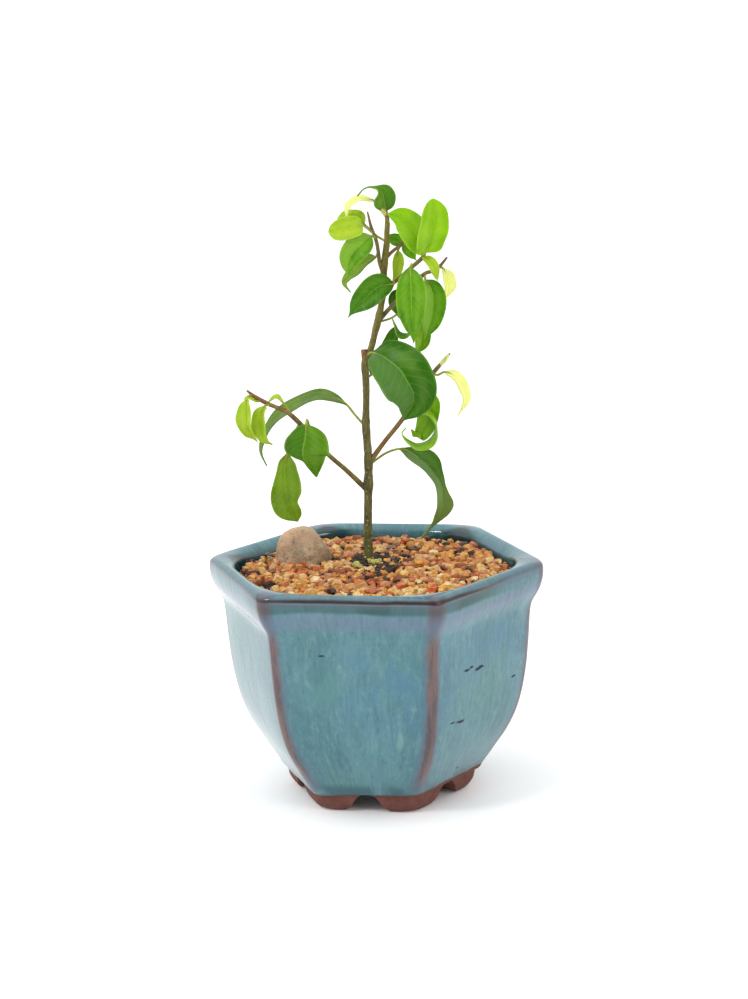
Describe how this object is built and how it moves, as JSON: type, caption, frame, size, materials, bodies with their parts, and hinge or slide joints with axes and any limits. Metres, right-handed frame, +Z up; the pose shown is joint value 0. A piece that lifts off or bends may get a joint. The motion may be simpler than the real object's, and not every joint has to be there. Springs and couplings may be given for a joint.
{
  "type": "potted bonsai",
  "caption": "Young ficus bonsai with glossy green leaves in a hexagonal blue-green glazed pot, topped with gravel and a stone.",
  "frame": {"origin": "centre of the bounding box at the level of the pot's feet", "axes": "+Z up, +X through two opposite corners of the hexagonal pot, +Y across its flat sides and away from the side shown in the picture"},
  "size_m": [0.1238, 0.1082, 0.2224],
  "materials": {
    "glaze": "glossy blue-green glaze",
    "screen": "matt",
    "soil": "damp, crumbly",
    "gravel": "mixed cream, tan, orange and brown grains",
    "stone": "rough",
    "bark": "satin bark",
    "leaves": "waxy, glossy"
  },
  "bodies": {
    "root": {"pot": "glaze", "drain_screen": "screen", "soil": "soil", "gravel": "gravel", "stone": "stone", "trunk": "bark", "left_branch": "leaves", "right_branch": "leaves", "upper_right_branch": "leaves", "upper_branch": "leaves", "small_twig": "leaves", "left_leader": "leaves", "crown_shoot": "leaves", "long_left_leaf": "leaves", "long_right_leaf": "leaves", "front_leaf": "leaves", "back_leaf": "leaves", "rolled_leaf": "leaves", "crown_side_leaf": "leaves"}
  },
  "joints": []
}
